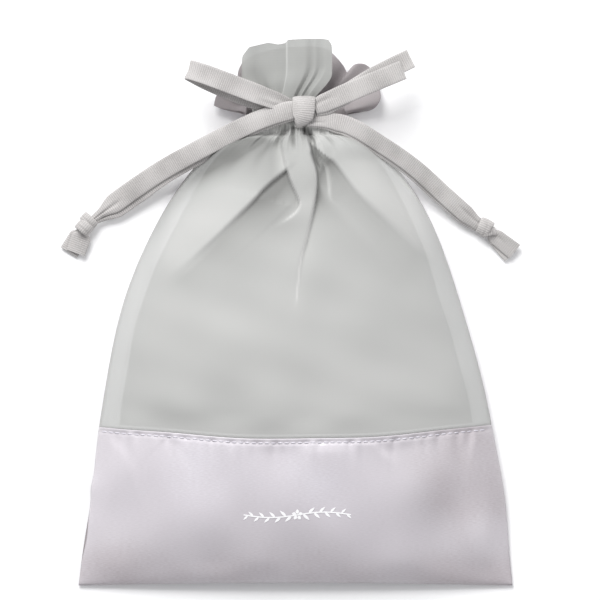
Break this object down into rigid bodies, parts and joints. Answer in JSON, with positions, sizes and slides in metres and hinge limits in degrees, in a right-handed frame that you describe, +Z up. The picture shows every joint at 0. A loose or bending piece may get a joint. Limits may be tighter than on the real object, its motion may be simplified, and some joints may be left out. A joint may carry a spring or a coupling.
{
  "type": "drawstring gift pouch",
  "caption": "Flat drawstring gift pouch with a sheer front, a satin back and base band, a gathered frilled mouth, two knotted ribbon pulls and a ribbon bow.",
  "frame": {"origin": "on the resting surface, in the middle of the pouch's own outline (bottom seam to frill edge, side seam to side seam), without the loose drawstring tails", "axes": "+Y from the bottom seam towards the mouth, +Z up out of the sheer front as the pouch lies on its back, +X to the right seen from above with the mouth away from the viewer"},
  "size_m": [0.2567, 0.302, 0.045],
  "materials": {
    "satin": "glossy polyester satin, soft broad shine along the folds",
    "organza": "sheer organza, fine glassy threads over the satin behind",
    "grosgrain_ribbon": "grosgrain ribbon, fine cross ribs, dull sheen",
    "seam_cloth": "satin, reverse side, dull"
  },
  "bodies": {
    "pouch": {"back_panel": "satin", "front_window": "organza", "base_band": "satin", "band_hem": "seam_cloth", "left_seam_allowance": "seam_cloth", "right_seam_allowance": "seam_cloth", "bottom_seam_allowance": "seam_cloth", "front_casing": "organza", "back_casing": "satin", "left_casing_run": "grosgrain_ribbon", "right_casing_run": "grosgrain_ribbon", "neck_tie": "grosgrain_ribbon", "front_frill": "organza", "bow_wrap": "grosgrain_ribbon", "bow_core": "grosgrain_ribbon"},
    "back_frill": {"back_frill": "satin"},
    "bow_loop": {"bow_loop": "grosgrain_ribbon"},
    "bow_ends": {"bow_end_front": "grosgrain_ribbon", "bow_end_back": "grosgrain_ribbon"},
    "left_pull": {"left_pull_ribbon": "grosgrain_ribbon"},
    "left_tail": {"left_ribbon_upper": "grosgrain_ribbon", "left_ribbon_lower": "grosgrain_ribbon", "left_stop_knot": "grosgrain_ribbon", "left_end_tab_upper": "grosgrain_ribbon", "left_end_tab_lower": "grosgrain_ribbon"},
    "right_pull": {"right_pull_ribbon": "grosgrain_ribbon"},
    "right_tail": {"right_ribbon_upper": "grosgrain_ribbon", "right_ribbon_lower": "grosgrain_ribbon", "right_stop_knot": "grosgrain_ribbon", "right_end_tab_upper": "grosgrain_ribbon", "right_end_tab_lower": "grosgrain_ribbon"}
  },
  "joints": [
    {"name": "left_pull_out", "type": "slide", "parent": "pouch", "child": "left_pull", "axis": [-0.9848, -0.1736, 0], "range_m": [0, 0.01]},
    {"name": "left_tail_lift", "type": "hinge", "parent": "left_pull", "child": "left_tail", "pos_m": [-0.003, 0.11, 0.0302], "axis": [-0.4711, 0.8821, 0], "range_deg": [0, 75]},
    {"name": "right_pull_out", "type": "slide", "parent": "pouch", "child": "right_pull", "axis": [0.9848, -0.1736, 0], "range_m": [0, 0.01]},
    {"name": "right_tail_lift", "type": "hinge", "parent": "right_pull", "child": "right_tail", "pos_m": [0.013, 0.107, 0.0276], "axis": [-0.5888, -0.8083, 0], "range_deg": [0, 75]},
    {"name": "bow_loop_lift", "type": "hinge", "parent": "pouch", "child": "bow_loop", "pos_m": [-0.003, 0.1186, 0.027], "axis": [0.2921, 0.9564, 0], "range_deg": [0, 60]},
    {"name": "bow_ends_lift", "type": "hinge", "parent": "pouch", "child": "bow_ends", "pos_m": [0.0128, 0.116, 0.029], "axis": [0.375, -0.927, 0], "range_deg": [0, 60]},
    {"name": "back_frill_fold", "type": "hinge", "parent": "pouch", "child": "back_frill", "pos_m": [0, 0.112, 0.0039], "axis": [-1, 0, 0], "range_deg": [0, 45]}
  ]
}
